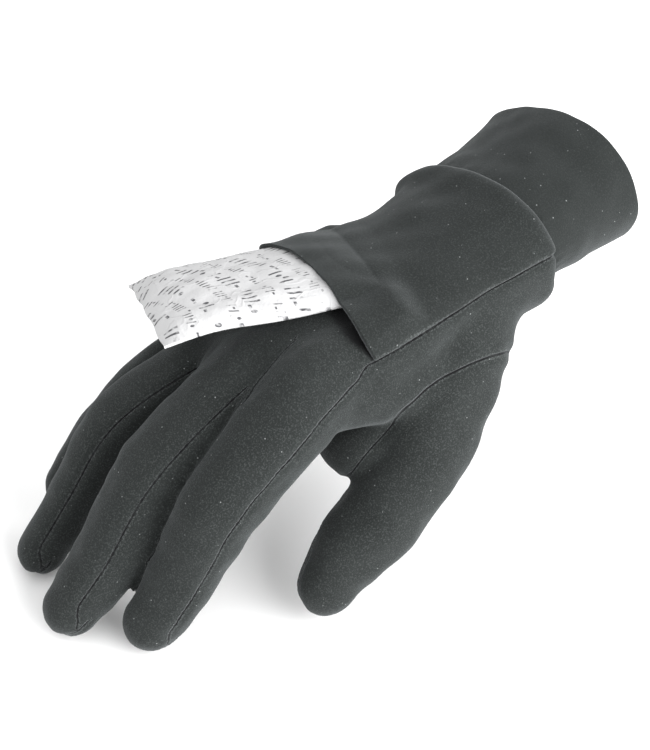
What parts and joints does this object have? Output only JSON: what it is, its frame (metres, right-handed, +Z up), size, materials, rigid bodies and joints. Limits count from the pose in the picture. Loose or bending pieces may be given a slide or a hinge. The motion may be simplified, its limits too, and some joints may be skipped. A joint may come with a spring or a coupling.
{
  "type": "glove liner with heat pack",
  "caption": "Thin stretch fleece glove liner in its worn form, fingers bent down and thumb apart, with a flat heat pack half out of the open pocket on the back of the hand.",
  "frame": {"origin": "middle of the wrist seam, in the opening that the hand goes through", "axes": "-Y towards the fingers, +Y out of the cuff, +X to the thumb's side, +Z up from the table that the fingertips touch"},
  "size_m": [0.1055, 0.2034, 0.1084],
  "materials": {
    "fleece": "matte brushed stretch fleece with fine lint",
    "sachet": null
  },
  "bodies": {
    "root": {"back_panel": "fleece", "palm_panel": "fleece", "thumb": "fleece", "pocket": "fleece", "cuff": "fleece", "heat_pack": "sachet"}
  },
  "joints": []
}
